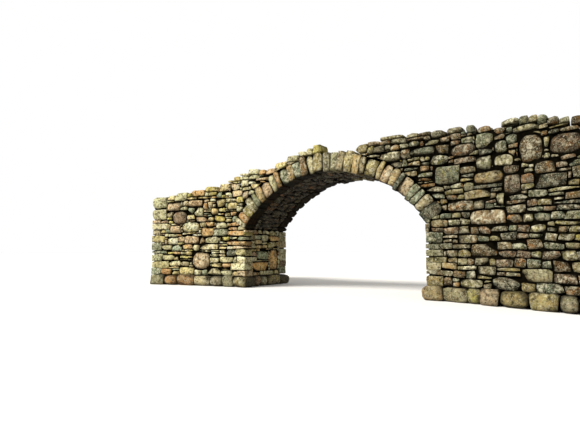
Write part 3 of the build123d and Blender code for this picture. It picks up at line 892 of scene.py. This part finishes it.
def quoins(chance, corner, inwards, low, high, laid):
    """Squarer stones stacked up a wall's corner, long and short by turns, between those laid already."""
    here = sorted((z0, z1) for x0, x1, z0, z1 in laid if x0 - 0.03 < corner < x1 + 0.03)
    stones = []
    at = low
    while at < high - least_gap:
        above = min([z0 for z0, z1 in here if z1 > at + 0.01] + [high])
        if above < at + least_gap:
            at = min(z1 for z0, z1 in here if z1 > at + 0.01)
            continue
        tall = chance.uniform(*quoin_heights)
        if above - (at + tall) < least_quoin:
            tall = above - at if above - at < most_quoin else (above - at) / 2
        wide = chance.uniform(*(long_quoins if len(stones) % 2 else short_quoins))
        for x0, x1, z0, z1 in laid:
            beside = inwards * ((x0 if inwards > 0 else x1) - corner)
            if z0 < at + tall and z1 > at and beside > 0:
                wide = min(wide, beside)
        if wide > 0.08:
            stones.append((*sorted((corner, corner + inwards * wide)), at, at + tall, None, "quoin"))
        at += tall
    return stones


def above_skewback(along, up):
    """How far a place is above the slope that the ring's first stones stand on."""
    return math.sin(half_angle) * (up - centre_z) - math.cos(half_angle) * abs(along)


def on_the_face(facing, along, up):
    """Whether a place is in the rubble of the front or back, clear of the arch and its ring."""
    if facing == "front":
        top = deck_at(along) - bed_below_deck
        top = max([low for left, right, low, *_ in front_stones if left < along < right] + [top])
    else:
        top = deck_at(-along) - bed_below_deck
    if up < footing_top or up > top:
        return False
    if abs(along) < half_span and up < springing_z:
        return False
    if above_skewback(along, up) > 0:
        off_ring = math.hypot(along, up - centre_z) - ring_reach(facing, along, up)
        beside_ring = above_skewback(along, up) < ring_overlap and abs(along) > half_span
        return off_ring > -ring_overlap or beside_ring
    return True


def at_corner(place):
    """Whether a stone turns a corner: at the bridge's ends, or under the arch."""
    left, right, low, high = place
    if (low + high) / 2 < springing_z and min(abs(left), abs(right)) < half_span + grain:
        return True
    return right > end_x - grain or left < -end_x + grain


ring_joint = 0.006
ring_zone_below, ring_zone_above = 0.1, 0.6
meets_ring_within = 0.15


def clear_of_ring(facing, place):
    """The limits that keep a stone off the ring under it."""
    left, right, low, high = place
    middle = (left + right) / 2
    inner = min(abs(left), abs(right))
    limits = []
    from_centre = math.hypot(middle, (low + high) / 2 - centre_z)
    near_ring = radius - ring_zone_below < from_centre < radius + ring_zone_above
    if near_ring and above_skewback(middle, (low + high) / 2) < 0 < above_skewback(inner, high):
        side = 1 if middle > 0 else -1
        nx, nz = -side * math.cos(half_angle), math.sin(half_angle)
        return [(nx, nz, nz * centre_z - ring_joint)]
    for along in (left, middle, right):
        out = math.hypot(along, low - centre_z)
        reach = ring_reach(facing, along, low)
        if above_skewback(along, low) > 0 and out < reach + meets_ring_within:
            nx, nz = -along / out, -(low - centre_z) / out
            limits.append((nx, nz, nz * centre_z - reach - ring_joint))
    return limits


tall_kerb_from = -1.5
slab_below_deck = 0.08
slab_above_deck = 0.03


def back_kerb(chance):
    """The slabs and blocks along the back's edge, lower where the crown is bare."""
    stones = []
    for start, stop, _, _ in row_of_places(chance, -end_x, end_x, 0, 0, least=0.27, most=0.50):
        x = -(start + stop) / 2
        upstand = chance.uniform(0.14, 0.24) if tall_kerb_from < x < 0 else chance.uniform(0.08, 0.17)
        foot = min(deck_at(-start), deck_at(-stop)) - bed_below_deck
        if 0 < x < bare_crown:
            stones.append((start, stop, foot - slab_below_deck, foot + slab_above_deck, None, "slab"))
        else:
            stones.append((start, stop, foot, deck_at(x) + upstand, None, "block"))
    return stones


reach_to_ring = 0.06
least_off_ring = 0.05
top_course = 0.05
walls = {}
for facing, turned in (("front", 1), ("back", -1)):
    chance = random.Random(5 if facing == "front" else 6)
    stones = list(front_stones) if facing == "front" else back_kerb(chance)
    for corner, inwards, low, high in (
        (-end_x, 1, footing_top, deck_at(-turned * end_x) - bed_below_deck),
        (end_x, -1, footing_top, deck_at(turned * end_x) - bed_below_deck),
        (-half_span, -1, footing_top, springing_z),
        (half_span, 1, footing_top, springing_z),
    ):
        stones += quoins(chance, corner, inwards, low, high, [stone[:4] for stone in stones])
    fill = fill_rubble(
        chance, -end_x, end_x, footing_top, fill_top,
        lambda along, up: on_the_face(facing, along, up), stones,
    )
    stones += [(*place, None, "quoin" if at_corner(place) else form_for(chance, place)) for place in fill]
    places = [stone[:4] for stone in stones]
    forms = [stone[5] for stone in stones]
    for stone, joints in zip(stones, joints_between(chance, places, forms, least=0.005, most=0.017)):
        *place, colour, form = stone
        left, right, low, high = place
        along, up = (left + right) / 2, (low + high) / 2
        x = turned * along
        side = "left" if x < 0 else "right"
        # The darkening behind each stone's face is dirt and painted shade; kerbs and corners get less
        depth, shade_and_dirt = chance.uniform(0.27, 0.34), 1.0
        if up > deck_at(x) - bed_below_deck and not 0 < x < bare_crown:
            node, depth, shade_and_dirt = f"{facing}_{side}_kerb", kerb_depth, free_stone_shade_and_dirt
        elif abs(along) > wing_start_x:
            node = f"{facing}_{side}_wing_wall"
        elif up > abutment_high.z:
            node = f"{facing}_{side}_spandrel_wall"
        else:
            node = f"{side}_abutment"
        if at_corner(place):
            depth, shade_and_dirt = jamb_depth, free_stone_shade_and_dirt
        if high > deck_at(x) - top_course:
            depth, shade_and_dirt = kerb_depth + 0.01, free_stone_shade_and_dirt
        mix = rubble_mix if x < bright_until else dark_mix if x < damp_shaded_from else damp_shaded_mix
        limits = clear_of_ring(facing, place)
        corners = [(x0, z0) for x0 in (left, right) for z0 in (low, high)]
        off_ring = max(math.hypot(x0, z0 - centre_z) - ring_reach(facing, x0, z0) for x0, z0 in corners)
        if len(limits) > 1 and off_ring < least_off_ring:
            continue
        if limits:
            towards_ring = ((-1 if along > 0 else 1, 0), (0, -1))
            joints = [joint for joint in joints if joint[:2] not in towards_ring] + limits
        lay_stone(
            walls.setdefault(node, new_wall()), long_face(turned), chance, place, joints, depth,
            colour or chance.choice(mix), form,
            proud=chance.uniform(-0.022, 0.012), dark=shade_and_dirt, reach_out=reach_to_ring if limits else 0.0,
        )

# The larger stones of the abutments' faces under the arch, from the photograph
reveal_stones = {
    "left": [
        (-0.42, 0.12, 0.74, 1.00, "green", "block"),
        (0.16, 0.56, 0.44, 1.04, "rust", "peak"),
        (-0.60, 0.13, 0.43, 0.70, "rust", "block"),
        (-0.52, -0.14, 1.06, 1.18, "tan", "slab"),
        (0.08, 0.50, 1.08, 1.26, "olive", "lens"),
    ],
    "right": [],
}
# Low on the reveal the stones are drawn bright, as painted light; higher under the arch dark ones mix in as
# painted shade
bright_below = 0.95
end_top_below_deck = 0.12
for name, side in halves.items():
    chance = random.Random(41 + side)
    edge = face_y - jamb_depth + 0.01
    stones = list(reveal_stones[name])
    fill = fill_rubble(chance, -edge, edge, footing_top, springing_z, lambda along, up: True, stones)
    for place in fill:
        mix = rubble_mix if place[3] < bright_below else dark_mix + rubble_mix
        stones.append((*place, chance.choice(mix), form_for(chance, place)))
    for stone, joints in zip(stones, joints_between(chance, [stone[:4] for stone in stones])):
        *place, colour, form = stone
        lay_stone(
            walls[f"{name}_abutment"], cross_face(side, half_span, -1), chance, place, joints,
            cross_stone_depth, colour, form, proud=chance.uniform(-0.02, 0.01), dark=0.85,
        )
    edge = half_width(end_x) - jamb_depth - 0.01
    top = deck_at(side * end_x) - end_top_below_deck
    wall = walls.setdefault(f"{name}_end_wall", new_wall())
    places = fill_rubble(chance, -edge, edge, footing_top, top, lambda along, up: True, [])
    # The right end is drawn from the dark mix, as stain and painted shade
    for place, joints in zip(places, joints_between(chance, places)):
        lay_stone(
            wall, cross_face(side, end_x, 1), chance, place, joints, cross_stone_depth,
            chance.choice(rubble_mix if side < 0 else dark_mix), form_for(chance, place),
            proud=chance.uniform(-0.02, 0.01),
        )

for node, wall in walls.items():
    slot = "kerb_stone" if node.endswith("kerb") else "rubble_stone"
    finish_piece(f"{node}_stones", wall, wall_finishes["left" if "left" in node else "right"], slot, node)
    if slot == "rubble_stone":
        pack_behind(node, slot, set_back=0.05, finish=hearting_painted_shade)

# Pitching
# The track is pitched with flat stones, set close in trodden earth between the kerbs. They are laid
# dry on the fill, and follow the hump of the arch.
track_finish = stone_finish("trodden_pitching", light=1.1, lichen=0.4)
earth = packing_finish("trodden_earth", (0.045, 0.035, 0.018), (0.110, 0.085, 0.045))
crown_low, crown_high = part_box("crown_pitching")
pitching_depth = 0.12
widest_track = 1.3


def deck_face(along, inward, up):
    """The track's surface, seen from above."""
    return Vector((along, up, deck_at(along) - inward))


chance = random.Random(51)
stretches = {
    "left_ramp": (-end_x, -wing_start_x),
    "left_haunch": (-wing_start_x, crown_low.x),
    "crown": (crown_low.x, crown_high.x),
    "right_haunch": (crown_high.x, wing_start_x),
    "right_ramp": (wing_start_x, end_x),
}
pitching = {name: new_wall() for name in stretches}
places = fill_rubble(
    chance, -end_x, end_x, -widest_track, widest_track,
    lambda along, up: abs(up) < half_width(along) - kerb_depth, [],
)
for place, joints in zip(places, joints_between(chance, places)):
    for name, (start, stop) in stretches.items():
        if start <= (place[0] + place[1]) / 2 < stop:
            lay_stone(
                pitching[name], deck_face, chance, place, joints, pitching_depth,
                chance.choice(rubble_mix), form_for(chance, place),
                proud=chance.uniform(-0.015, 0.0), dark=0.8,
            )
for name, stretch in pitching.items():
    finish_piece(f"{name}_pitching_stones", stretch, track_finish, "pitching_stone", f"{name}_pitching")
    pack_behind(f"{name}_pitching", "pitching_stone", set_back=0.02, finish=earth)

# Hearting
# The core of the abutments and the fill over the haunches are packed with small stone and earth. They
# are painted near black, as the shade between the facing stones.
for name in ("left_rubble_core", "right_rubble_core", "left_haunch_fill", "right_haunch_fill"):
    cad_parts[name].data.materials.clear()
    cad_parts[name].data.materials.append(hearting_painted_shade)

# Floor, light and camera
# The bridge stands on a pale floor in the soft light of a studio. The camera looks up at it from low
# down, as in the photograph.
floor_mesh = bpy.data.meshes.new("floor")
floor_grid = bmesh.new()
bmesh.ops.create_grid(floor_grid, x_segments=1, y_segments=1, size=80)
floor_grid.to_mesh(floor_mesh)
floor_grid.free()
floor = bpy.data.objects.new("floor", floor_mesh)
bpy.context.scene.collection.objects.link(floor)
floor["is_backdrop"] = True


def seen_or_lit(nodes, links):
    """1 for rays that show a surface or its reflection, and 0 for rays that only light others."""
    path = nodes.new("ShaderNodeLightPath")
    seen = path.outputs["Is Camera Ray"]
    for kind in ("Is Glossy Ray", "Is Transmission Ray"):
        either = nodes.new("ShaderNodeMath")
        either.operation = "MAXIMUM"
        links.new(seen, either.inputs[0])
        links.new(path.outputs[kind], either.inputs[1])
        seen = either.outputs["Value"]
    return seen


floor_finish = bpy.data.materials.new("pale_floor")
floor_finish.use_nodes = True
nodes, links = floor_finish.node_tree.nodes, floor_finish.node_tree.links
floor_colour = nodes.new("ShaderNodeMix")
floor_colour.data_type = "RGBA"
floor_colour.inputs["A"].default_value = (0.32, 0.30, 0.26, 1)
floor_colour.inputs["B"].default_value = (0.80, 0.79, 0.77, 1)
links.new(seen_or_lit(nodes, links), floor_colour.inputs["Factor"])
links.new(floor_colour.outputs["Result"], nodes["Principled BSDF"].inputs["Base Color"])
nodes["Principled BSDF"].inputs["Roughness"].default_value = 0.9
floor_mesh.materials.append(floor_finish)

world = bpy.data.worlds.new("studio")
bpy.context.scene.world = world
world.use_nodes = True
nodes, links = world.node_tree.nodes, world.node_tree.links
studio_light = nodes["Background"]
studio_light.inputs["Color"].default_value = (1.0, 0.98, 0.94, 1)
studio_light.inputs["Strength"].default_value = 0.62
backdrop = nodes.new("ShaderNodeBackground")
backdrop.inputs["Color"].default_value = (1.0, 1.0, 1.0, 1)
either = nodes.new("ShaderNodeMixShader")
links.new(seen_or_lit(nodes, links), either.inputs["Fac"])
links.new(studio_light.outputs["Background"], either.inputs[1])
links.new(backdrop.outputs["Background"], either.inputs[2])
links.new(either.outputs["Shader"], nodes["World Output"].inputs["Surface"])

key = bpy.data.lights.new("soft_key", "SUN")
key.energy = 4.6
key.angle = math.radians(25)
key.color = (1.0, 0.97, 0.92)
key_object = bpy.data.objects.new("soft_key", key)
key_object.rotation_euler = (math.radians(48), 0, math.radians(-38))
bpy.context.scene.collection.objects.link(key_object)

camera = bpy.data.cameras.new("camera")
camera.sensor_width = 36
camera.lens = 27.0
camera_object = bpy.data.objects.new("camera", camera)
camera_object.location = (5.465, -10.025, 1.06)
camera_object.rotation_euler = (math.radians(90 + 4.12), 0, math.radians(35.4))
bpy.context.scene.collection.objects.link(camera_object)
bpy.context.scene.camera = camera_object
bpy.context.scene.view_settings.view_transform = "Standard"

low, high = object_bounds()
{"cad": [list(corner) for corner in cad_box], "visual": [list(low), list(high)]}
